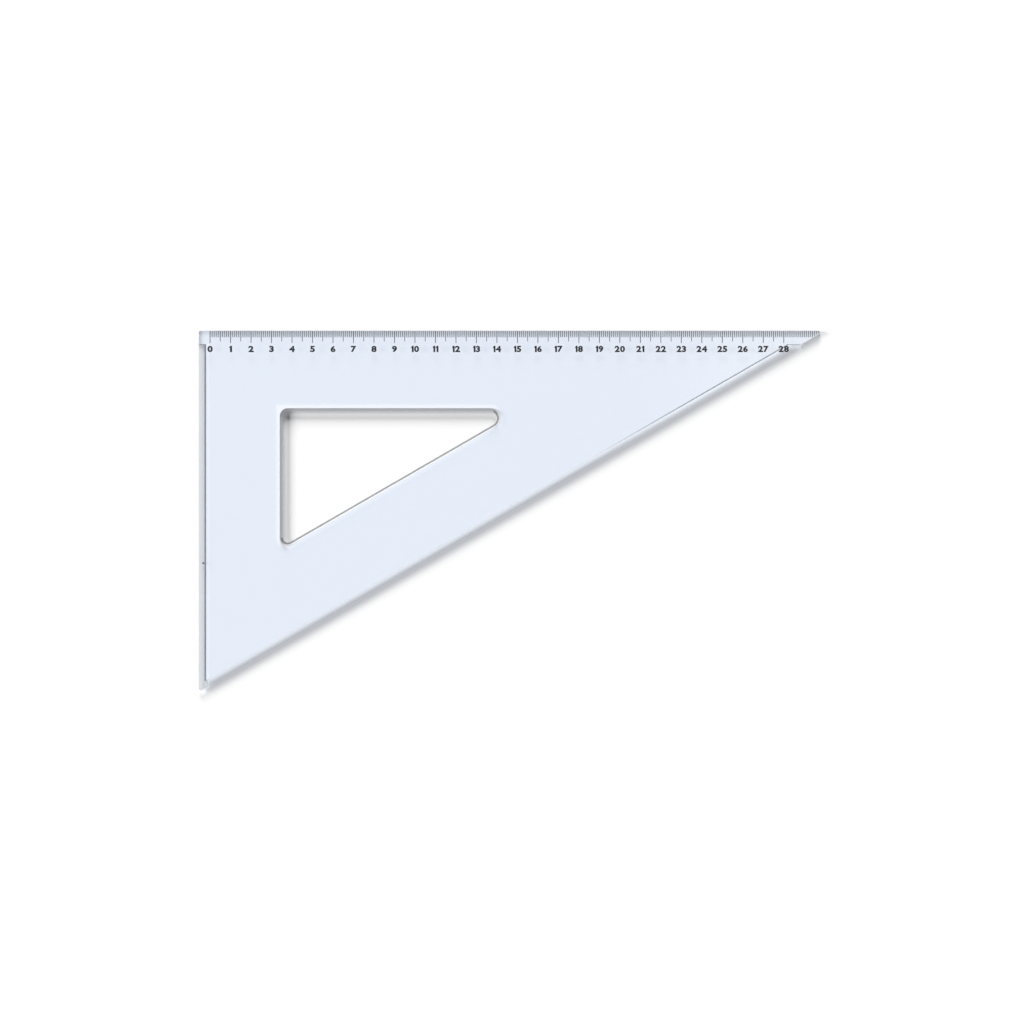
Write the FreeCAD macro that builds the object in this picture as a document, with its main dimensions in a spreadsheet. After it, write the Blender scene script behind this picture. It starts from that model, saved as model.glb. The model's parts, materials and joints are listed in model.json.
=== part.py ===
import FreeCAD, Part
import Sketcher
import math
import os

# A 30/60/90 drawing set square: one clear moulded plate with a triangular window, a centimetre scale
# printed along its long leg, and inking rebates under its other edges, which hold those edges off the
# paper so that ink doesn't creep below them.
#
# Every body is drawn in the plate's own corner frame: the foot, where the short leg meets the hypotenuse,
# is the origin, +X runs along the long leg and +Y up the short leg to the right angle. A placement then
# puts the origin at the middle of the base of the whole part. +Z is up and the underside is at Z = 0.

Vector = FreeCAD.Vector

document = FreeCAD.newDocument("set_square")

# ---------------------------------------------------------------- driving dimensions, mm and degrees
DIMENSIONS = (
    # outline, measured between the points where its straight edges would meet
    ("long_leg_length", 305.4),
    ("acute_angle", 30.0),
    ("plate_thickness", 2.2),
    ("right_corner_radius", 0.6),
    ("foot_corner_radius", 1.1),
    ("tip_radius", 0.8),
    # window, by the width of the plate that is left beside each side
    ("window_to_short_leg", 41.0),
    ("window_to_long_leg", 39.3),
    ("window_to_hypotenuse", 41.1),
    ("window_corner_radius", 2.4),
    ("window_tip_radius", 3.5),
    # inking rebates on the underside, which leave rims of about half the plate's thickness
    ("rebate_depth", 1.0),
    ("rebate_draft", 10.0),
    ("rebate_end_radius", 1.2),
    ("rim_width", 3.1),
    ("window_rim_width", 1.7),
    # strip under the scale that stays at full thickness
    ("strip_width", 6.5),
    # gate mark under the rim of the short leg
    ("gate_mark_diameter", 0.9),
    ("gate_mark_depth", 0.3),
    ("gate_mark_inset", 2.2),
    ("gate_mark_height", 62.9),
    # printed scale
    ("zero_inset", 5.5),
    ("ink_thickness", 0.04),
    ("mark_to_edge", 0.1),
    ("short_mark_length", 3.0),
    ("half_mark_length", 5.2),
    ("long_mark_length", 6.0),
    ("short_mark_width", 0.25),
    ("half_mark_width", 0.28),
    ("long_mark_width", 0.33),
    ("print_margin", 0.4),
)
sizes = document.addObject("Spreadsheet::Sheet", "Sizes")
for line, (name, value) in enumerate(DIMENSIONS, start=1):
    sizes.set(f"A{line}", name)
    sizes.set(f"B{line}", str(value))
    sizes.setAlias(f"B{line}", name)
document.recompute()

# ---------------------------------------------------------------- sizes that follow from them
MARKS_PER_HALF = 4
MILLIMETRES_PER_HALF = 5
MILLIMETRES_PER_CENTIMETRE = 10
ANGLE = "Sizes.acute_angle"
LONG_LEG = "Sizes.long_leg_length"
SHORT_LEG = f"({LONG_LEG} * tan({ANGLE}))"
# how far the rounding of the tip and of the foot draws each of them back from its sharp corner
TIP_DRAWN_BACK = f"(Sizes.tip_radius * (1 / tan({ANGLE} / 2) - 1))"
FOOT_DRAWN_BACK = f"(Sizes.foot_corner_radius * (1 / tan((90 - {ANGLE}) / 2) - 1))"
# the last numbered centimetre is the last one whose long mark still clears the hypotenuse's rim
RIM_UPRIGHT = f"(Sizes.long_mark_length + Sizes.rim_width / cos({ANGLE}))"
NUMBERED_LENGTH = f"({LONG_LEG} - Sizes.zero_inset - {RIM_UPRIGHT} / tan({ANGLE}))"
LAST_CENTIMETRE = f"floor({NUMBERED_LENGTH} / {MILLIMETRES_PER_CENTIMETRE})"
# the last mark of all is the last one that keeps the print's margin from the rounded tip
LAST_MILLIMETRE = f"floor({LONG_LEG} - {TIP_DRAWN_BACK} - Sizes.print_margin - Sizes.zero_inset)"


# ---------------------------------------------------------------- drawing helpers
def new_body(label):
    """A body drawn in the corner frame and placed with the part's origin under its middle."""
    body = document.addObject("PartDesign::Body", label)
    body.setExpression("Placement.Base.x", f"-({LONG_LEG} - {TIP_DRAWN_BACK}) / 2")
    body.setExpression("Placement.Base.y", f"-({SHORT_LEG} + {FOOT_DRAWN_BACK}) / 2")
    return body


def origin_feature(body, role):
    """One of the body's own origin planes or axes."""
    return next(item for item in body.Origin.OriginFeatures if item.Role == role)


def new_sketch(body, name, role="XY_Plane"):
    """An empty sketch on one of the body's origin planes."""
    sketch = body.newObject("Sketcher::SketchObject", name)
    sketch.AttachmentSupport = [(origin_feature(body, role), "")]
    sketch.MapMode = "FlatFace"
    return sketch


def number_of(sketch, expression):
    """The plain value of an expression."""
    value = sketch.evalExpression(expression)
    return getattr(value, "Value", value)


def bind(sketch, name, expression, kind, *place):
    """A dimension of a sketch that an expression drives."""
    added = sketch.addConstraint(Sketcher.Constraint(kind, *place, number_of(sketch, expression)))
    sketch.renameConstraint(added, name)
    sketch.setExpression(f"Constraints.{name}", expression)


def draw_outline(sketch, corners, radii=()):
    """Closed outline of straight sides. Each corner is a pair of expressions, its distances from the origin.

    A corner with a radius gets an arc, and the point where its two sides would meet stays bound."""
    count = len(corners)
    points = [Vector(*(number_of(sketch, part) for part in corner)) for corner in corners]
    radii = list(radii) + [None] * (count - len(radii))
    arrivals, departures, arcs = [], [], []
    for number, point in enumerate(points):
        back = (points[number - 1] - point).normalize()
        ahead = (points[(number + 1) % count] - point).normalize()
        half_angle = back.getAngle(ahead) / 2
        radius = number_of(sketch, radii[number]) if radii[number] else 0
        arrivals.append(point + back * (radius / math.tan(half_angle)))
        departures.append(point + ahead * (radius / math.tan(half_angle)))
        centre = point + (back + ahead).normalize() * (radius / math.sin(half_angle))
        turns_left = ahead.cross(back).z > 0
        arcs.append((centre, radius, turns_left))
    for number in range(count):
        sketch.addGeometry(Part.LineSegment(departures[number], arrivals[(number + 1) % count]))
    for number, (centre, radius, turns_left) in enumerate(arcs):
        before, after = (number - 1) % count, number
        if radius:
            ends = [arrivals[number], departures[number]]
            arrive, depart = 1, 2
            if not turns_left:
                ends.reverse()
                arrive, depart = 2, 1
            angles = [math.atan2(end.y - centre.y, end.x - centre.x) for end in ends]
            circle = Part.Circle(centre, Vector(0, 0, 1), radius)
            arc = sketch.addGeometry(Part.ArcOfCircle(circle, *angles))
            sketch.addConstraint(Sketcher.Constraint("Tangent", before, 2, arc, arrive))
            sketch.addConstraint(Sketcher.Constraint("Tangent", arc, depart, after, 1))
            bind(sketch, f"radius_{number + 1}", radii[number], "Radius", arc)
            corner = sketch.addGeometry(Part.Point(points[number]), True)
            sketch.addConstraint(Sketcher.Constraint("PointOnObject", corner, 1, before))
            sketch.addConstraint(Sketcher.Constraint("PointOnObject", corner, 1, after))
        else:
            corner = after
            sketch.addConstraint(Sketcher.Constraint("Coincident", before, 2, after, 1))
        bind(sketch, f"across_{number + 1}", corners[number][0], "DistanceX", -1, 1, corner, 1)
        bind(sketch, f"up_{number + 1}", corners[number][1], "DistanceY", -1, 1, corner, 1)


def triangle_corners(to_leg, to_scale, to_hypotenuse):
    """Foot, right angle and tip of the triangle that lies these distances inside the plate's three sides."""
    top = f"({SHORT_LEG} - {to_scale})"
    foot = f"({to_leg} * tan({ANGLE}) + {to_hypotenuse} / cos({ANGLE}))"
    tip = f"({top} / tan({ANGLE}) - {to_hypotenuse} / sin({ANGLE}))"
    return (to_leg, foot), (to_leg, top), (tip, top)


def extrude(body, kind, name, sketch, length=None, **settings):
    """Pad or pocket of a sketch. Without a length it goes through the whole body, both ways."""
    feature = body.newObject(f"PartDesign::{kind}", name)
    feature.Profile = sketch
    sketch.Visibility = False
    if length is None:
        feature.Type = "ThroughAll"
        feature.SideType = "Symmetric"
    else:
        feature.setExpression("Length", length)
    for key, value in settings.items():
        if isinstance(value, str):
            feature.setExpression(key, value)
        else:
            setattr(feature, key, value)
    document.recompute()
    return feature


# ---------------------------------------------------------------- moulded plate
plate = new_body("plate")

outline = new_sketch(plate, "outline")
CORNER_RADII = ("Sizes.foot_corner_radius", "Sizes.right_corner_radius", "Sizes.tip_radius")
draw_outline(outline, triangle_corners("0", "0", "0"), CORNER_RADII)
extrude(plate, "Pad", "slab", outline, "Sizes.plate_thickness")

# the window goes right through, with its tip rounded more than its other corners
window_outline = new_sketch(plate, "window_outline")
WINDOW = ("Sizes.window_to_short_leg", "Sizes.window_to_long_leg", "Sizes.window_to_hypotenuse")
WINDOW_RADII = ("Sizes.window_corner_radius", "Sizes.window_corner_radius", "Sizes.window_tip_radius")
draw_outline(window_outline, triangle_corners(*WINDOW), WINDOW_RADII)
extrude(plate, "Pocket", "window", window_outline)

# the window's rebate runs all round it, with corners concentric with the window's, and its wall leans
# out towards the paper so that the moulding leaves its tool
window_rebate_outline = new_sketch(plate, "window_rebate_outline")
WINDOW_REBATE = [f"({side} - Sizes.window_rim_width)" for side in WINDOW]
WINDOW_REBATE_RADII = [f"{radius} + Sizes.window_rim_width" for radius in WINDOW_RADII]
draw_outline(window_rebate_outline, triangle_corners(*WINDOW_REBATE), WINDOW_REBATE_RADII)
DRAFTED_UPWARD = {"Reversed": True, "TaperAngle": "-Sizes.rebate_draft"}
extrude(plate, "Pocket", "window_rebate", window_rebate_outline, "Sizes.rebate_depth", **DRAFTED_UPWARD)

# one rebate runs down the short leg and back up the hypotenuse. It stops at the scale's strip, which has
# to lie on the paper, and it is drawn past the plate's outline so that it opens to the outside
edge_rebate_outline = new_sketch(plate, "edge_rebate_outline")
RIM = ("Sizes.rim_width", "Sizes.strip_width", "Sizes.rim_width")
rim_foot, rim_top, rim_tip = triangle_corners(*RIM)
strip_line = rim_top[1]
OUTSIDE = "Sizes.strip_width"
EDGE_REBATE = (
    rim_top,
    rim_foot,
    rim_tip,
    (f"{LONG_LEG} + {OUTSIDE}", strip_line),
    (f"{LONG_LEG} + {OUTSIDE}", f"-{OUTSIDE}"),
    (f"-{OUTSIDE}", f"-{OUTSIDE}"),
    (f"-{OUTSIDE}", strip_line),
)
EDGE_REBATE_RADII = ("Sizes.rebate_end_radius", "Sizes.foot_corner_radius", "Sizes.rebate_end_radius")
draw_outline(edge_rebate_outline, EDGE_REBATE, EDGE_REBATE_RADII)
extrude(plate, "Pocket", "edge_rebate", edge_rebate_outline, "Sizes.rebate_depth", **DRAFTED_UPWARD)

# the witness of the moulding's gate is a shallow round recess, from below, in the short leg's rim
gate_circle = new_sketch(plate, "gate_circle")
gate_circle.setExpression("AttachmentOffset.Base.z", "Sizes.rebate_depth")
gate_circle.addGeometry(Part.Circle(Vector(), Vector(0, 0, 1), 1))
bind(gate_circle, "diameter", "Sizes.gate_mark_diameter", "Diameter", 0)
bind(gate_circle, "inset", "Sizes.gate_mark_inset", "DistanceX", -1, 1, 0, 3)
bind(gate_circle, "height", "Sizes.gate_mark_height", "DistanceY", -1, 1, 0, 3)
extrude(plate, "Pocket", "gate_mark", gate_circle, "Sizes.gate_mark_depth", Reversed=True)


# ---------------------------------------------------------------- printed marks of the scale
def ink_bar(body, name, value, length, width):
    """The first mark of a row, at a value in millimetres: a bar of ink that lies on the top face."""
    bar = new_sketch(body, f"{name}_bar")
    bar.setExpression("AttachmentOffset.Base.z", "Sizes.plate_thickness")
    left = f"Sizes.zero_inset + {value} - {width} / 2"
    right = f"Sizes.zero_inset + {value} + {width} / 2"
    inner = f"{SHORT_LEG} - {length}"
    outer = f"{SHORT_LEG} - Sizes.mark_to_edge"
    draw_outline(bar, ((left, inner), (left, outer), (right, outer), (right, inner)))
    return extrude(body, "Pad", f"{name}_ink", bar, "Sizes.ink_thickness")


def new_row(body, name, count, pitch):
    """A straight row of copies along the scale, a pitch in millimetres apart."""
    row = body.newObject("PartDesign::LinearPattern", name)
    row.Direction = (origin_feature(body, "X_Axis"), [""])
    row.setExpression("Occurrences", count)
    row.setExpression("Length", f"({count} - 1) * {pitch}")
    return row


def repeat(body, mark, row):
    """Repeats a mark with a pattern, which becomes the body's result."""
    row.Originals = [mark]
    body.Tip = row
    document.recompute()


centimetre_marks = new_body("centimetre_marks")
LONG_MARK = ("Sizes.long_mark_length", "Sizes.long_mark_width")
mark = ink_bar(centimetre_marks, "centimetre", 0, *LONG_MARK)
row = new_row(centimetre_marks, "centimetre_row", f"{LAST_CENTIMETRE} + 1", MILLIMETRES_PER_CENTIMETRE)
repeat(centimetre_marks, mark, row)

half_centimetre_marks = new_body("half_centimetre_marks")
HALF_MARK = ("Sizes.half_mark_length", "Sizes.half_mark_width")
mark = ink_bar(half_centimetre_marks, "half", MILLIMETRES_PER_HALF, *HALF_MARK)
row = new_row(half_centimetre_marks, "half_row", LAST_CENTIMETRE, MILLIMETRES_PER_CENTIMETRE)
repeat(half_centimetre_marks, mark, row)

# four short marks stand between each pair of longer ones. Past the last numbered centimetre the plate is
# too narrow for long marks, so short ones go on to the tip, where the hypotenuse cuts them shorter still
millimetre_marks = new_body("millimetre_marks")
SHORT_MARK = ("Sizes.short_mark_length", "Sizes.short_mark_width")
mark = ink_bar(millimetre_marks, "millimetre", 1, *SHORT_MARK)
between = new_row(millimetre_marks, "marks_between", str(MARKS_PER_HALF), 1)
halves = new_row(millimetre_marks, "half_centimetres", f"2 * {LAST_CENTIMETRE}", MILLIMETRES_PER_HALF)
row = millimetre_marks.newObject("PartDesign::MultiTransform", "millimetre_rows")
row.Transformations = [between, halves]
repeat(millimetre_marks, mark, row)
FIRST_TAIL_MARK = f"({LAST_CENTIMETRE} * {MILLIMETRES_PER_CENTIMETRE} + 1)"
mark = ink_bar(millimetre_marks, "tail", FIRST_TAIL_MARK, *SHORT_MARK)
row = new_row(millimetre_marks, "tail_row", f"{LAST_MILLIMETRE} - {FIRST_TAIL_MARK} + 1", 1)
repeat(millimetre_marks, mark, row)
beyond_print = new_sketch(millimetre_marks, "beyond_print")
MARGIN = f"Sizes.print_margin / cos({ANGLE})"
BEYOND = (("0", "0"), ("0", MARGIN), (LONG_LEG, f"{SHORT_LEG} + {MARGIN}"), (LONG_LEG, "0"))
draw_outline(beyond_print, BEYOND)
extrude(millimetre_marks, "Pocket", "cut_by_hypotenuse", beyond_print)

# ---------------------------------------------------------------- check and write
document.recompute()
for item in document.Objects:
    if {"Invalid", "Error"} & set(item.State):
        raise RuntimeError(f"{item.Label} failed: {item.State}")

os.makedirs("parts", exist_ok=True)
for body in (plate, centimetre_marks, half_centimetre_marks, millimetre_marks):
    shape = body.Shape
    if shape.isNull() or not shape.isValid():
        raise RuntimeError(f"{body.Label} has no valid shape")
    shape.exportStep(os.path.join("parts", f"{body.Label}.step"))
    print(f"{body.Label}: {len(shape.Solids)} solids, {shape.Volume:.3f} mm3")
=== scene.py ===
"""Looks of a clear 30/60/90 set square with a centimetre scale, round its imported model. Sizes in metres."""

import json
import math

import bmesh
import bpy
from mathutils import Matrix, Vector

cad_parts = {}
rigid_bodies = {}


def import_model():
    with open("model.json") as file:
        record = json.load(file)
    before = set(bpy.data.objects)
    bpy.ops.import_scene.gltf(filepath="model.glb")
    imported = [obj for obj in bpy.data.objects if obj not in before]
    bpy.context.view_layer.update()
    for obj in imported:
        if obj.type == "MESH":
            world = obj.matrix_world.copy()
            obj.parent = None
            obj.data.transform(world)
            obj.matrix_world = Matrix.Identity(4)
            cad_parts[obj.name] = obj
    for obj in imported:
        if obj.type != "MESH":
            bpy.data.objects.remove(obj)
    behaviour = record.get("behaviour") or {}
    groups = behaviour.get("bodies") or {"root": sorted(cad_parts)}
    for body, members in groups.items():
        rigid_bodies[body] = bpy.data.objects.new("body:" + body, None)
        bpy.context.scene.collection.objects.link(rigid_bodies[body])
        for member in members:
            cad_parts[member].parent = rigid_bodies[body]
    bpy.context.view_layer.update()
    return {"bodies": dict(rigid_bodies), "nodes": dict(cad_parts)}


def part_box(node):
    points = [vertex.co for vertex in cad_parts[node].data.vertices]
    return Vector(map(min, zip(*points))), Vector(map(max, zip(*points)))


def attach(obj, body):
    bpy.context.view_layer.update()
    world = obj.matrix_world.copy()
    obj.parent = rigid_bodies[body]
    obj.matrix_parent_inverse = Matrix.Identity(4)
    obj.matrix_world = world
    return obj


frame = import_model()
body = next(iter(frame["bodies"]))

# ---------------------------------------------------------------------------------------------------------
# The plate: one injection moulding in clear plastic with a faint blue cast. Its faces are as bright as the
# polished mould, and after some use they carry hairline scratches and the dull film of fingers.

PLASTIC_IOR = 1.49
PLASTIC_TINT = (0.839, 0.872, 0.920, 1.0)

FILM_SCALE = 28.0
FILM_DETAIL = 5.0
FILM_ROUGHNESS = 0.6
FILM_EDGES = (0.48, 0.72)
SCRATCH_TURNS_AND_SCALES = ((17, 210.0), (74, 260.0), (131, 180.0))
SCRATCH_STRETCH = 0.03
SCRATCH_DETAIL = 2.0
SCRATCH_EDGES = (0.70, 0.78)


def add(tree, kind, **settings):
    """A node of that kind, with its settings."""
    node = tree.nodes.new("ShaderNode" + kind)
    for name, value in settings.items():
        setattr(node, name, value)
    return node


def maths(tree, operation, *values):
    """A Math node's result, from numbers and sockets."""
    node = add(tree, "Math", operation=operation)
    for socket, value in zip(node.inputs, values):
        if isinstance(value, (int, float)):
            socket.default_value = value
        else:
            tree.links.new(value, socket)
    return node.outputs["Value"]


def any_of(tree, *masks):
    """The largest of masks."""
    result = masks[0]
    for mask in masks[1:]:
        result = maths(tree, "MAXIMUM", result, mask)
    return result


def rising(tree, value, none_to, full_from, kind="SMOOTHSTEP"):
    """A mask that is empty up to one value and grows full towards another."""
    node = add(tree, "MapRange", interpolation_type=kind)
    tree.links.new(value, node.inputs["Value"])
    node.inputs["From Min"].default_value = none_to
    node.inputs["From Max"].default_value = full_from
    return node.outputs["Result"]


def noise(tree, place, scale, detail):
    """A noise texture, at those coordinates."""
    node = add(tree, "TexNoise")
    tree.links.new(place, node.inputs["Vector"])
    node.inputs["Scale"].default_value = scale
    node.inputs["Detail"].default_value = detail
    return node


def new_group(name, inputs, outputs):
    """An empty shader group with number inputs and number outputs of those names."""
    group = bpy.data.node_groups.new(name, "ShaderNodeTree")
    for direction, sockets in (("INPUT", inputs), ("OUTPUT", outputs)):
        for socket in sockets:
            group.interface.new_socket(socket, in_out=direction, socket_type="NodeSocketFloat")
    return group


def build_handling_wear():
    """Hairline scratches in all directions and a patchy film: a Roughness value and a Height in metres."""
    group = new_group("handling_wear", ("Base Roughness", "Film", "Scratch Depth"), ("Roughness", "Height"))
    given = add(group, "TexCoord").outputs["Object"]
    entry = group.nodes.new("NodeGroupInput")
    result = group.nodes.new("NodeGroupOutput")

    film = noise(group, given, FILM_SCALE, FILM_DETAIL)
    film.inputs["Roughness"].default_value = FILM_ROUGHNESS
    patches = rising(group, film.outputs["Fac"], *FILM_EDGES)
    film_part = maths(group, "MULTIPLY", patches, entry.outputs["Film"])
    roughness = maths(group, "ADD", film_part, entry.outputs["Base Roughness"])
    group.links.new(roughness, result.inputs["Roughness"])

    hairs = []
    for turn, scale in SCRATCH_TURNS_AND_SCALES:
        lay = add(group, "Mapping")
        lay.inputs["Rotation"].default_value = (0.0, 0.0, math.radians(turn))
        lay.inputs["Scale"].default_value = (1.0, SCRATCH_STRETCH, 1.0)
        group.links.new(given, lay.inputs["Vector"])
        streaks = noise(group, lay.outputs["Vector"], scale, SCRATCH_DETAIL)
        hairs.append(rising(group, streaks.outputs["Fac"], *SCRATCH_EDGES, kind="LINEAR"))
    depth = maths(group, "MULTIPLY", any_of(group, *hairs), entry.outputs["Scratch Depth"])
    group.links.new(maths(group, "MULTIPLY", depth, -1.0), result.inputs["Height"])
    return group


handling_wear = build_handling_wear()


def wear_on(material, roughness, film, scratch_depth):
    """Puts the handling wear on a material's shader."""
    tree = material.node_tree
    shader = tree.nodes["Principled BSDF"]
    wear = add(tree, "Group", node_tree=handling_wear)
    wear.inputs["Base Roughness"].default_value = roughness
    wear.inputs["Film"].default_value = film
    wear.inputs["Scratch Depth"].default_value = scratch_depth
    relief = add(tree, "Bump")
    relief.inputs["Strength"].default_value = 1.0
    relief.inputs["Distance"].default_value = 1.0
    tree.links.new(wear.outputs["Height"], relief.inputs["Height"])
    tree.links.new(wear.outputs["Roughness"], shader.inputs["Roughness"])
    tree.links.new(relief.outputs["Normal"], shader.inputs["Normal"])


def give(node, material):
    """Gives a CAD node that one material."""
    mesh = frame["nodes"][node].data
    mesh.materials.clear()
    mesh.materials.append(material)


clear_plastic = bpy.data.materials.new("clear_plastic")
clear_plastic.use_nodes = True
plastic_tree = clear_plastic.node_tree
plastic_shader = plastic_tree.nodes["Principled BSDF"]
plastic_shader.inputs["Transmission Weight"].default_value = 1.0
plastic_shader.inputs["IOR"].default_value = PLASTIC_IOR
wear_on(clear_plastic, roughness=0.0, film=0.03, scratch_depth=1.5e-6)

# The plate's edges: rims undercut from below for ink pens, along the short leg and the hypotenuse and round
# the window, and walls that the mould leaves a little leaning. The strip under the scale keeps the full
# thickness. The two rim widths here reach 0.1 mm past the moulding's, to take in the foot of the wall.

SHORT_LEG = 0.176323
HYPOTENUSE_NORMAL = (0.5, -math.sqrt(0.75), 0.0)
REBATE_DEPTH = 0.0010
STRIP_WIDTH = 0.0065
RIM_WIDTH = 0.0032
WINDOW_RIM_WIDTH = 0.0018
WINDOW_TO_SHORT_LEG = 0.0410
WINDOW_TO_SCALE = 0.0393
WINDOW_TO_HYPOTENUSE = 0.0411
WINDOW_CORNER_RADIUS = 0.0024
WINDOW_TIP_RADIUS = 0.0035
FLAT_SLOPE = 0.5
UPRIGHT_SLOPE = 0.08
CORNER_REACH = 0.003
A_LITTLE = 0.0001


def choice(tree, mask, when_off, when_on):
    """One of two values, by a mask of 0 or 1."""
    node = add(tree, "Mix", data_type="FLOAT")
    tree.links.new(mask, node.inputs["Factor"])
    for name, value in (("A", when_off), ("B", when_on)):
        if isinstance(value, (int, float)):
            node.inputs[name].default_value = value
        else:
            tree.links.new(value, node.inputs[name])
    return node.outputs["Result"]


def colour_mix(tree, mask, when_off, when_on):
    """One of two colours, by a mask."""
    node = add(tree, "Mix", data_type="RGBA")
    tree.links.new(mask, node.inputs["Factor"])
    for name, value in (("A", when_off), ("B", when_on)):
        if isinstance(value, tuple):
            node.inputs[name].default_value = value
        else:
            tree.links.new(value, node.inputs[name])
    return node.outputs["Result"]


def all_of(tree, *masks):
    """The product of masks and shares."""
    result = masks[0]
    for mask in masks[1:]:
        result = maths(tree, "MULTIPLY", result, mask)
    return result


def between(tree, value, low, high):
    """A mask of where a value lies between two numbers."""
    return maths(tree, "COMPARE", value, (low + high) / 2, (high - low) / 2)


def near(tree, value, middle, reach):
    """A mask of where a value lies within that reach of a number."""
    return maths(tree, "COMPARE", value, middle, reach)


def distance_from(tree, place, centre):
    """The distance between two places."""
    reach = add(tree, "VectorMath", operation="DISTANCE")
    reach.inputs[1].default_value = centre
    tree.links.new(place, reach.inputs[0])
    return reach.outputs["Value"]


plate_low, plate_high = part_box("plate")
thickness = plate_high.z - plate_low.z
window_left = plate_low.x + WINDOW_TO_SHORT_LEG
window_top = plate_high.y - WINDOW_TO_SCALE
foot_corner = Vector((plate_low.x, plate_high.y - SHORT_LEG, 0.0))
slant_normal = Vector(HYPOTENUSE_NORMAL)
hypotenuse_reach = foot_corner.dot(slant_normal)
slant_reach = hypotenuse_reach - WINDOW_TO_HYPOTENUSE

given_place = add(plastic_tree, "TexCoord").outputs["Object"]
place = add(plastic_tree, "SeparateXYZ")
plastic_tree.links.new(given_place, place.inputs["Vector"])
along_x, along_y, height = (place.outputs[axis] for axis in "XYZ")
level = add(plastic_tree, "VectorMath", operation="MULTIPLY")
level.inputs[1].default_value = (1.0, 1.0, 0.0)
plastic_tree.links.new(given_place, level.inputs[0])
level_place = level.outputs["Vector"]
facing = add(plastic_tree, "SeparateXYZ")
plastic_tree.links.new(add(plastic_tree, "NewGeometry").outputs["True Normal"], facing.inputs["Vector"])
slope = maths(plastic_tree, "ABSOLUTE", facing.outputs["Z"])
flat = maths(plastic_tree, "GREATER_THAN", slope, FLAT_SLOPE)
upright = maths(plastic_tree, "LESS_THAN", slope, UPRIGHT_SLOPE)

across = add(plastic_tree, "VectorMath", operation="DOT_PRODUCT")
across.inputs[1].default_value = HYPOTENUSE_NORMAL
plastic_tree.links.new(given_place, across.inputs[0])
to_short_leg = maths(plastic_tree, "SUBTRACT", along_x, plate_low.x)
to_scale = maths(plastic_tree, "SUBTRACT", plate_high.y, along_y)
to_hypotenuse = maths(plastic_tree, "SUBTRACT", hypotenuse_reach, across.outputs["Value"])
past_slant = maths(plastic_tree, "SUBTRACT", across.outputs["Value"], slant_reach)

at_scale = maths(plastic_tree, "LESS_THAN", to_scale, A_LITTLE)
in_strip = maths(plastic_tree, "LESS_THAN", to_scale, STRIP_WIDTH)
below_strip = maths(plastic_tree, "GREATER_THAN", to_scale, STRIP_WIDTH)
by_short_leg = maths(plastic_tree, "LESS_THAN", to_short_leg, RIM_WIDTH)
by_hypotenuse = maths(plastic_tree, "LESS_THAN", to_hypotenuse, RIM_WIDTH)
off_hypotenuse = maths(plastic_tree, "GREATER_THAN", to_hypotenuse, RIM_WIDTH)
by_slant = between(plastic_tree, past_slant, -A_LITTLE, WINDOW_RIM_WIDTH + A_LITTLE)
by_left = near(plastic_tree, along_x, window_left, WINDOW_RIM_WIDTH)
by_top = near(plastic_tree, along_y, window_top, WINDOW_RIM_WIDTH)
in_corner = all_of(
    plastic_tree,
    near(plastic_tree, along_x, window_left, CORNER_REACH),
    near(plastic_tree, along_y, window_top, CORNER_REACH),
)

# Lamp light met from inside the plastic: flat faces pass it, and a wall is dark over the lowest third of its
# height, because light bends down as it enters the top. The slant and the scale's wall pass more.
DARK_SHARE_OF_WALL = 0.34
FOOT_SHARE = 0.35
SLANT_WALL_SHARE = 0.9
SCALE_WALL_SHARE = 0.5


def dark_below(foot, top):
    """The height under which a wall is dark from inside."""
    return foot + DARK_SHARE_OF_WALL * (top - foot)


rebated_foot = dark_below(REBATE_DEPTH, thickness)
full_foot = dark_below(0.0, thickness)
wall_foot = choice(plastic_tree, upright, 0.0, choice(plastic_tree, in_strip, rebated_foot, full_foot))
above_foot = maths(plastic_tree, "GREATER_THAN", height, wall_foot)
passed_from_inside = any_of(
    plastic_tree,
    flat,
    choice(plastic_tree, above_foot, FOOT_SHARE, 1.0),
    all_of(plastic_tree, by_slant, SLANT_WALL_SHARE),
    all_of(plastic_tree, at_scale, SCALE_WALL_SHARE),
)

# Lamp light met from outside: rims pass part of it, and walls little or none, so they throw the shadows.
CORNER_SHARE = 0.5
WINDOW_RIM_SHARE = 0.33
HYPOTENUSE_RIM_SHARE = 0.42
LEANING_WALL_SHARE = 0.24
HYPOTENUSE_WALL_SHARE = 0.45

corner_loss = choice(plastic_tree, in_corner, 1.0, CORNER_SHARE)
by_window = any_of(plastic_tree, by_left, by_top)
rim_share = choice(plastic_tree, by_window, 1.0, all_of(plastic_tree, corner_loss, WINDOW_RIM_SHARE))
rim_share = choice(plastic_tree, by_hypotenuse, rim_share, HYPOTENUSE_RIM_SHARE)
rim_share = choice(plastic_tree, by_short_leg, rim_share, 1.0)
rim_roof = near(plastic_tree, height, REBATE_DEPTH, A_LITTLE)
face_share = choice(plastic_tree, rim_roof, 1.0, rim_share)
leaning_share = all_of(plastic_tree, corner_loss, LEANING_WALL_SHARE)
leaning_share = choice(plastic_tree, by_hypotenuse, leaning_share, 1.0)
upright_share = all_of(plastic_tree, by_hypotenuse, HYPOTENUSE_WALL_SHARE)
wall_share = choice(plastic_tree, upright, leaning_share, upright_share)
passed_from_outside = choice(plastic_tree, flat, wall_share, face_share)

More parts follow.
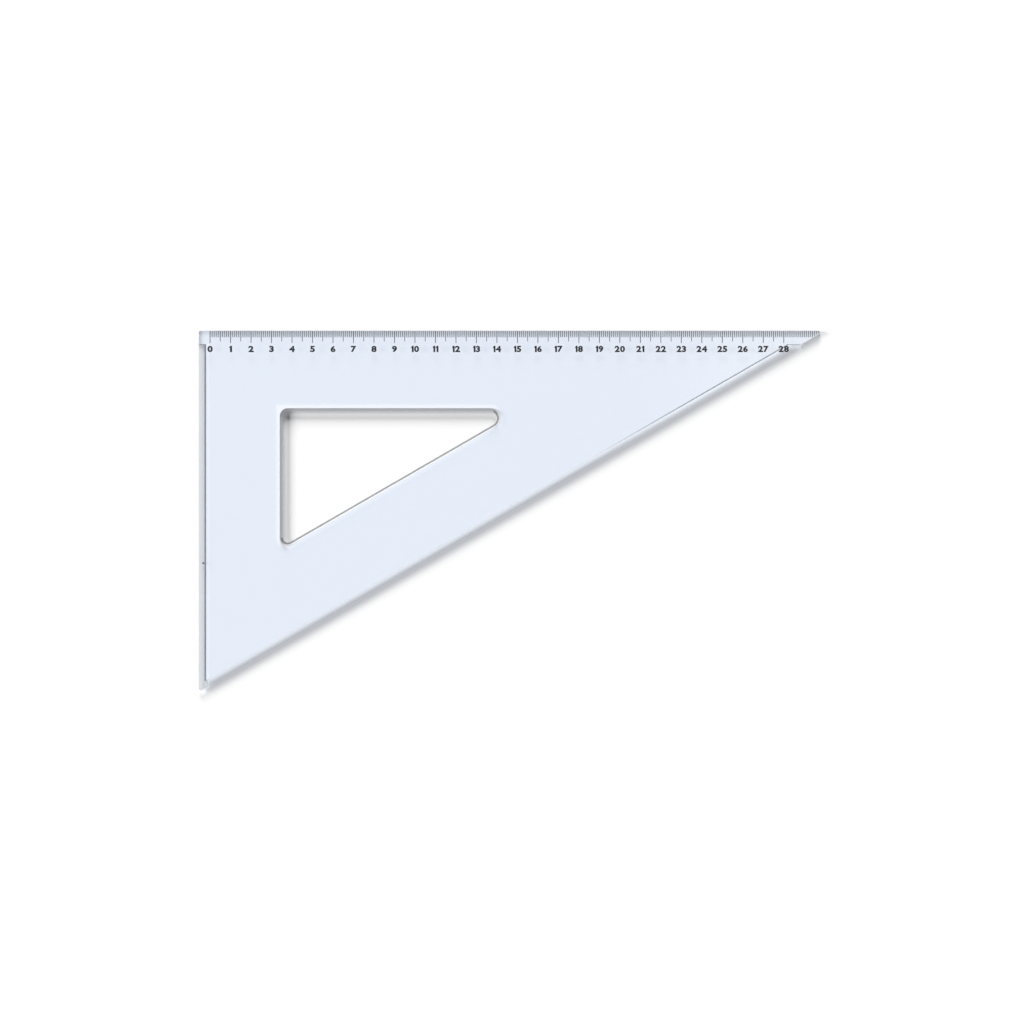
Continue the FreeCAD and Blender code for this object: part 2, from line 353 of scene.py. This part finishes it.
# Painted shade: grey lines painted into the plastic's colour stand for the rebate's wall darkening the view
# through the upper face: along the short leg, along the hypotenuse towards the tip, along the window's slant
# and round its two ends, and where the rebate stops at the strip. The rims carry painted shade for the
# shadow on the table under them, and the plastic under the print carries a painted shadow of the print.
# The gate mark is the moulding's own small dark spot and uses the same dark colour.
PAINTED_SHADE_AND_GATE_TINT = (0.17, 0.18, 0.19, 1.0)
LINE_TO_EDGE = 0.00310
HALF_LINE_WIDTH = 0.0003
TIP_LINE_FROM = 0.02
TIP_LINE_FULL_FROM = 0.10
TIP_LINE_SHARE = 0.75
SLANT_LINE_WIDTH = 0.0009
SLANT_LINE_SHARE = 0.75
STRIP_END_WIDTH = 0.0005
STRIP_END_SHARE = 0.6
GATE_TO_SHORT_LEG = 0.0022
GATE_ABOVE_FOOT = 0.0629
GATE_RADIUS = 0.00055
SHORT_LEG_RIM_SHADE = 0.29
HYPOTENUSE_RIM_SHADE = 0.15
PAINTED_PRINT_SHADOW = 0.20
PRINT_DEPTH = 0.0033
PRINT_START = 0.0052

foot_centre = Vector((window_left + WINDOW_CORNER_RADIUS, 0.0, 0.0))
foot_centre.y = (foot_centre.x * slant_normal.x + WINDOW_CORNER_RADIUS - slant_reach) / -slant_normal.y
tip_centre = Vector((0.0, window_top - WINDOW_TIP_RADIUS, 0.0))
tip_centre.x = (slant_reach - WINDOW_TIP_RADIUS - tip_centre.y * slant_normal.y) / slant_normal.x
slant_start = (foot_centre + slant_normal * WINDOW_CORNER_RADIUS).x
slant_end = (tip_centre + slant_normal * WINDOW_TIP_RADIUS).x
gate_centre = foot_corner + Vector((GATE_TO_SHORT_LEG, GATE_ABOVE_FOOT, 0.0))

from_foot_centre = distance_from(plastic_tree, level_place, foot_centre)
from_tip_centre = distance_from(plastic_tree, level_place, tip_centre)
from_gate = distance_from(plastic_tree, level_place, gate_centre)
past_foot = maths(plastic_tree, "SUBTRACT", from_foot_centre, WINDOW_CORNER_RADIUS)
past_tip = maths(plastic_tree, "SUBTRACT", from_tip_centre, WINDOW_TIP_RADIUS)
round_foot = all_of(
    plastic_tree,
    maths(plastic_tree, "LESS_THAN", along_y, foot_centre.y),
    maths(plastic_tree, "LESS_THAN", along_x, slant_start),
)
towards_tip = rising(plastic_tree, along_x, TIP_LINE_FROM, TIP_LINE_FULL_FROM)
towards_foot = maths(plastic_tree, "SUBTRACT", 1.0, towards_tip)

short_leg_line = near(plastic_tree, to_short_leg, LINE_TO_EDGE, HALF_LINE_WIDTH)
hypotenuse_line = near(plastic_tree, to_hypotenuse, LINE_TO_EDGE, HALF_LINE_WIDTH)
slant_line = all_of(
    plastic_tree,
    between(plastic_tree, past_slant, 0.0, SLANT_LINE_WIDTH),
    between(plastic_tree, along_x, slant_start, slant_end),
)
foot_arc = all_of(plastic_tree, between(plastic_tree, past_foot, 0.0, SLANT_LINE_WIDTH), round_foot)
tip_arc = all_of(
    plastic_tree,
    between(plastic_tree, past_tip, 0.0, SLANT_LINE_WIDTH),
    maths(plastic_tree, "GREATER_THAN", along_x, slant_end),
)
strip_end = between(plastic_tree, to_scale, STRIP_WIDTH, STRIP_WIDTH + STRIP_END_WIDTH)
under_print = all_of(
    plastic_tree,
    maths(plastic_tree, "LESS_THAN", to_scale, PRINT_DEPTH),
    maths(plastic_tree, "GREATER_THAN", to_short_leg, PRINT_START),
)
# Painted shade: dark lines and shadows painted into the plastic's colour, together with the real gate mark.
painted_shade_and_gate = any_of(
    plastic_tree,
    all_of(plastic_tree, short_leg_line, below_strip, off_hypotenuse),
    all_of(plastic_tree, hypotenuse_line, towards_tip, below_strip, TIP_LINE_SHARE),
    all_of(plastic_tree, any_of(plastic_tree, slant_line, foot_arc, tip_arc), SLANT_LINE_SHARE),
    all_of(plastic_tree, any_of(plastic_tree, by_short_leg, by_hypotenuse), strip_end, STRIP_END_SHARE),
    maths(plastic_tree, "LESS_THAN", from_gate, GATE_RADIUS),
    all_of(plastic_tree, by_short_leg, below_strip, SHORT_LEG_RIM_SHADE),
    all_of(plastic_tree, by_hypotenuse, below_strip, towards_foot, HYPOTENUSE_RIM_SHADE),
    all_of(plastic_tree, under_print, PAINTED_PRINT_SHADOW),
)

# Painted highlights: beside the lines the edges gather light, so the rims, a band along the short leg's line,
# a soft band round the window and the plate's thin tip are painted lighter than the middle.
PAINTED_HIGHLIGHT_TINT = (0.97, 0.975, 0.98, 1.0)
PALE_RIM_SHARE = 0.7
PALE_LINE_SHARE = 0.8
PALE_BY_LINE = (0.0039, 0.0052)
PALE_ROUND_WINDOW = (0.0020, 0.0042)
PALE_IN_TIP = (0.055, 0.130)
PALE_TIP_SHARE = 0.38

past_straight_sides = any_of(
    plastic_tree,
    past_slant,
    maths(plastic_tree, "SUBTRACT", window_left, along_x),
    maths(plastic_tree, "SUBTRACT", along_y, window_top),
)
at_tip_end = maths(plastic_tree, "GREATER_THAN", along_x, tip_centre.x)
past_window = choice(plastic_tree, round_foot, past_straight_sides, past_foot)
past_window = choice(plastic_tree, at_tip_end, past_window, past_tip)
off_window = rising(plastic_tree, past_window, *PALE_ROUND_WINDOW)
by_outer_rim = any_of(plastic_tree, by_short_leg, by_hypotenuse)
# Painted highlights: a lighter colour painted where the edges gather light.
painted_highlight = any_of(
    plastic_tree,
    maths(plastic_tree, "SUBTRACT", 1.0, off_window),
    all_of(plastic_tree, between(plastic_tree, to_short_leg, *PALE_BY_LINE), below_strip, PALE_LINE_SHARE),
    all_of(plastic_tree, by_outer_rim, below_strip, PALE_RIM_SHARE),
    all_of(plastic_tree, rising(plastic_tree, along_x, *PALE_IN_TIP), PALE_TIP_SHARE),
)
plastic_colour = colour_mix(plastic_tree, painted_highlight, PLASTIC_TINT, PAINTED_HIGHLIGHT_TINT)
# The painted shade and the gate mark go over the tint and the painted highlights.
plastic_colour = colour_mix(plastic_tree, painted_shade_and_gate, plastic_colour, PAINTED_SHADE_AND_GATE_TINT)
plastic_tree.links.new(plastic_colour, plastic_shader.inputs["Base Color"])

# Lamp light crosses the plastic unbent, with the share that the masks give. Light that has been turned back
# inside several times leaves unbent too, and dimmer for its long way.
FACE_TINT = (0.940, 0.958, 0.990, 1.0)
WALL_SHADE = (0.06, 0.06, 0.065, 1.0)
SEVERAL_TURNS = 2
LONG_WAY_TINT = (0.52, 0.57, 0.64, 1.0)

from_inside = add(plastic_tree, "NewGeometry").outputs["Backfacing"]
rays = add(plastic_tree, "LightPath").outputs
turned_often = maths(plastic_tree, "GREATER_THAN", rays["Glossy Depth"], SEVERAL_TURNS)
passed = choice(plastic_tree, from_inside, passed_from_outside, passed_from_inside)
passed = any_of(plastic_tree, passed, rays["Is Diffuse Ray"])
light_colour = colour_mix(plastic_tree, passed, WALL_SHADE, FACE_TINT)
light_colour = colour_mix(plastic_tree, turned_often, light_colour, LONG_WAY_TINT)
lamp_light = add(plastic_tree, "BsdfTransparent")
plastic_tree.links.new(light_colour, lamp_light.inputs["Color"])
unbent = any_of(plastic_tree, rays["Is Shadow Ray"], rays["Is Diffuse Ray"], turned_often)


def surface_of(tree, mask, when_off, when_on):
    """Ends a material with one of two shaders, by a mask."""
    surface = add(tree, "MixShader")
    tree.links.new(mask, surface.inputs["Fac"])
    tree.links.new(when_off.outputs["BSDF"], surface.inputs[1])
    tree.links.new(when_on.outputs["BSDF"], surface.inputs[2])
    tree.links.new(surface.outputs["Shader"], tree.nodes["Material Output"].inputs["Surface"])


surface_of(plastic_tree, unbent, plastic_shader, lamp_light)
give("plate", clear_plastic)

# ---------------------------------------------------------------------------------------------------------
# The marks: one screen print in black ink on the plate's upper face, with a stroke for each millimetre,
# longer at each half centimetre and longest at each centimetre. The ink dries matt and a little uneven.

INK_COLOUR = (0.012, 0.012, 0.014, 1.0)
RUBBED_INK_COLOUR = (0.045, 0.045, 0.05, 1.0)
INK_GLOSS = 0.3
INK_PATCH_SCALE = 900.0
INK_PATCH_DETAIL = 3.0
INK_PATCH_EDGES = (0.5, 0.75)
SHADOW_UNDER_PRINT = (0.86, 0.86, 0.86, 1.0)

print_ink = bpy.data.materials.new("print_ink")
print_ink.use_nodes = True
ink_tree = print_ink.node_tree
ink_shader = ink_tree.nodes["Principled BSDF"]
ink_place = add(ink_tree, "TexCoord").outputs["Object"]
ink_patches = noise(ink_tree, ink_place, INK_PATCH_SCALE, INK_PATCH_DETAIL)
ink_colours = add(ink_tree, "ValToRGB")
ink_steps = zip(ink_colours.color_ramp.elements, INK_PATCH_EDGES, (INK_COLOUR, RUBBED_INK_COLOUR))
for step, position, colour in ink_steps:
    step.position = position
    step.color = colour
ink_tree.links.new(ink_patches.outputs["Fac"], ink_colours.inputs["Fac"])
ink_tree.links.new(ink_colours.outputs["Color"], ink_shader.inputs["Base Color"])
ink_shader.inputs["Specular IOR Level"].default_value = INK_GLOSS
wear_on(print_ink, roughness=0.42, film=0.15, scratch_depth=1e-6)

# Under the clear plate the print's shadow on the table is drawn out and faint.
past_ink = add(ink_tree, "BsdfTransparent")
past_ink.inputs["Color"].default_value = SHADOW_UNDER_PRINT
ink_rays = add(ink_tree, "LightPath").outputs
from_table = any_of(ink_tree, ink_rays["Is Shadow Ray"], ink_rays["Is Diffuse Ray"])
surface_of(ink_tree, from_table, ink_shader, past_ink)
for marks in ("centimetre_marks", "half_centimetre_marks", "millimetre_marks"):
    give(marks, print_ink)

# ---------------------------------------------------------------------------------------------------------
# The numerals: plain wide figures from 0 to 28 in the same coat of ink, each centred under its
# centimetre mark and with its foot towards the window.

FIGURE_HEIGHT = 0.0031
FIGURE_TOP_TO_EDGE = 0.00735
FIGURE_WIDENING = 1.25
PAIR_NARROWING = 0.94
FIGURE_STROKE_GAIN = 0.050
FIGURE_SPACING = 0.05
FIGURE_EXTRUSION = 0.5
FIGURE_CURVE_STEPS = 3
FLAG_LENGTH = 0.34
FLAG_THICKNESS = 0.15
FLAG_CENTRE = (0.02, 0.81, 0.5)
FLAG_LEAN = math.radians(38)
LAST_FIGURE = 28
CENTIMETRE = 0.01
LONG_MARK_WIDTH = 0.00033
SAME_PLACE = 1e-7

marks_low, marks_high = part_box("centimetre_marks")
first_mark = marks_low.x + LONG_MARK_WIDTH / 2
ink_thickness = marks_high.z - marks_low.z
figure_foot = plate_high.y - FIGURE_TOP_TO_EDGE - FIGURE_HEIGHT


def digit_shape(digit):
    """One figure as a flat print: its foot on y = 0, its left side on x = 0, one unit high."""
    curve = bpy.data.curves.new("digit", "FONT")
    curve.body = digit
    curve.offset = FIGURE_STROKE_GAIN
    curve.extrude = FIGURE_EXTRUSION
    curve.resolution_u = FIGURE_CURVE_STEPS
    lettering = bpy.data.objects.new("digit", curve)
    bpy.context.scene.collection.objects.link(lettering)
    bpy.context.view_layer.update()
    drawn = lettering.evaluated_get(bpy.context.evaluated_depsgraph_get())
    mesh = bpy.data.meshes.new_from_object(drawn)
    bpy.data.objects.remove(lettering)
    bpy.data.curves.remove(curve)
    shape = bmesh.new()
    shape.from_mesh(mesh)
    bpy.data.meshes.remove(mesh)
    low = Vector(min(v.co[k] for v in shape.verts) for k in range(3))
    high = Vector(max(v.co[k] for v in shape.verts) for k in range(3))
    tall = 1.0 / (high.y - low.y)
    bmesh.ops.translate(shape, verts=shape.verts, vec=-low)
    bmesh.ops.scale(shape, verts=shape.verts, vec=(tall * FIGURE_WIDENING, tall, 1.0 / (high.z - low.z)))
    if digit == "1":
        add_flag(shape)
    return shape


def add_flag(shape):
    """The short slanted stroke at the top left of a one."""
    flag = bmesh.ops.create_cube(shape, size=1.0)["verts"]
    bmesh.ops.scale(shape, verts=flag, vec=(FLAG_LENGTH, FLAG_THICKNESS, 1.0))
    lean = Matrix.Rotation(FLAG_LEAN, 4, "Z")
    bmesh.ops.transform(shape, matrix=Matrix.Translation(FLAG_CENTRE) @ lean, verts=flag)
    leftmost = min(v.co.x for v in shape.verts)
    bmesh.ops.translate(shape, verts=shape.verts, vec=(-leftmost, 0.0, 0.0))


def join(whole, piece):
    """Adds a finished shape to a whole and frees it."""
    mesh = bpy.data.meshes.new("figure")
    piece.to_mesh(mesh)
    piece.free()
    whole.from_mesh(mesh)
    bpy.data.meshes.remove(mesh)


def figure_shape(text):
    """The digits of a number side by side, centred on x = 0, at the print's real size."""
    shape = bmesh.new()
    reach = 0.0
    for digit in text:
        piece = digit_shape(digit)
        bmesh.ops.translate(piece, verts=piece.verts, vec=(reach, 0.0, 0.0))
        reach = max(v.co.x for v in piece.verts) + FIGURE_SPACING
        join(shape, piece)
    middle = (reach - FIGURE_SPACING) / 2
    bmesh.ops.translate(shape, verts=shape.verts, vec=(-middle, 0.0, 0.0))
    narrowing = PAIR_NARROWING if len(text) > 1 else 1.0
    size = (FIGURE_HEIGHT * narrowing, FIGURE_HEIGHT, ink_thickness)
    bmesh.ops.scale(shape, verts=shape.verts, vec=size)
    return shape


def put_in_scene(name, shape):
    """A new object at the origin from a finished shape, which is freed."""
    mesh = bpy.data.meshes.new(name)
    shape.to_mesh(mesh)
    shape.free()
    piece = bpy.data.objects.new(name, mesh)
    bpy.context.scene.collection.objects.link(piece)
    return piece


numerals = bmesh.new()
for number in range(LAST_FIGURE + 1):
    figure = figure_shape(str(number))
    foot = Vector((first_mark + number * CENTIMETRE, figure_foot, marks_low.z))
    bmesh.ops.translate(figure, verts=figure.verts, vec=foot)
    join(numerals, figure)
bmesh.ops.remove_doubles(numerals, verts=numerals.verts, dist=SAME_PLACE)
bmesh.ops.recalc_face_normals(numerals, faces=numerals.faces)
scale_numerals = put_in_scene("scale_numerals", numerals)
scale_numerals.data.materials.append(print_ink)
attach(scale_numerals, body)

# ---------------------------------------------------------------------------------------------------------
# The table top: a sheet of white paper just under the plate, which takes its shadow. It is see-through from
# below, so that the plate's underside can be looked at.

TABLE_DROP = 0.00002
TABLE_HALF_WIDTH = 12.0
PAPER_COLOUR = (0.82, 0.82, 0.82, 1.0)
SEEN_PAPER_COLOUR = (1.0, 1.0, 1.0, 1.0)

table = bmesh.new()
bmesh.ops.create_grid(table, x_segments=1, y_segments=1, size=TABLE_HALF_WIDTH)
bmesh.ops.translate(table, verts=table.verts, vec=(0.0, 0.0, plate_low.z - TABLE_DROP))
table_top = put_in_scene("table_top", table)


def seen_rays(tree):
    """A mask of the rays that show a thing to the eye: straight, mirrored or through glass."""
    kinds = add(tree, "LightPath").outputs
    return any_of(tree, kinds["Is Camera Ray"], kinds["Is Glossy Ray"], kinds["Is Transmission Ray"])


paper = bpy.data.materials.new("white_paper")
paper.use_nodes = True
paper_tree = paper.node_tree
paper_shader = paper_tree.nodes["Principled BSDF"]
paper_shader.inputs["Roughness"].default_value = 1.0
paper_shader.inputs["Specular IOR Level"].default_value = 0.0
paper_colour = colour_mix(paper_tree, seen_rays(paper_tree), PAPER_COLOUR, SEEN_PAPER_COLOUR)
paper_tree.links.new(paper_colour, paper_shader.inputs["Base Color"])
from_below = add(paper_tree, "NewGeometry").outputs["Backfacing"]
surface_of(paper_tree, from_below, paper_shader, add(paper_tree, "BsdfTransparent"))
table_top.data.materials.append(paper)

# ---------------------------------------------------------------------------------------------------------
# The light: two long soft panels, one to the left and one beyond the scale, and a dim even room, which is
# white to the eye.

ROOM_LIGHT = 0.075
PANEL_DISTANCE = 30.0
PANEL_WIDTH = 14.0
PANEL_HEIGHT = 12.5


def light_panel(name, bearing, elevation, share):
    """A soft panel that faces the plate from that bearing, and gives white paper that share of its light."""
    data = bpy.data.lights.new(name, "AREA")
    data.shape = "RECTANGLE"
    data.size = PANEL_WIDTH
    data.size_y = PANEL_HEIGHT
    up = math.sin(math.radians(elevation))
    data.cycles.use_multiple_importance_sampling = False
    data.energy = share * math.pi ** 2 * PANEL_DISTANCE ** 2 / up
    panel = bpy.data.objects.new(name, data)
    bpy.context.scene.collection.objects.link(panel)
    out = math.cos(math.radians(elevation)) * PANEL_DISTANCE
    turn = math.radians(bearing)
    panel.location = (out * math.cos(turn), out * math.sin(turn), up * PANEL_DISTANCE)
    panel.rotation_euler = Vector(panel.location).to_track_quat("Z", "Y").to_euler()


light_panel("left_panel", bearing=176, elevation=25, share=0.525)
light_panel("far_panel", bearing=94, elevation=20.5, share=0.515)

world = bpy.data.worlds.new("room")
world.use_nodes = True
world.cycles.sampling_method = "NONE"
room_tree = world.node_tree
room = room_tree.nodes["Background"]
room.inputs["Color"].default_value = (1.0, 1.0, 1.0, 1.0)
room_strength = choice(room_tree, seen_rays(room_tree), ROOM_LIGHT, 1.0)
room_tree.links.new(room_strength, room.inputs["Strength"])
bpy.context.scene.world = world
bpy.context.scene.view_settings.view_transform = "Standard"

# ---------------------------------------------------------------------------------------------------------
# The camera: a long lens straight above the plate, far enough off that its edges don't show their sides.

VIEW_WIDTH = 0.5002
CAMERA_HEIGHT = 2.4
SENSOR_WIDTH = 36.0
OFF_CENTRE = Vector((0.00125, -0.0007))

camera_data = bpy.data.cameras.new("camera")
camera_data.sensor_width = SENSOR_WIDTH
camera_data.lens = SENSOR_WIDTH * CAMERA_HEIGHT / VIEW_WIDTH
camera = bpy.data.objects.new("camera", camera_data)
bpy.context.scene.collection.objects.link(camera)
camera.location = (*OFF_CENTRE, CAMERA_HEIGHT)
bpy.context.scene.camera = camera
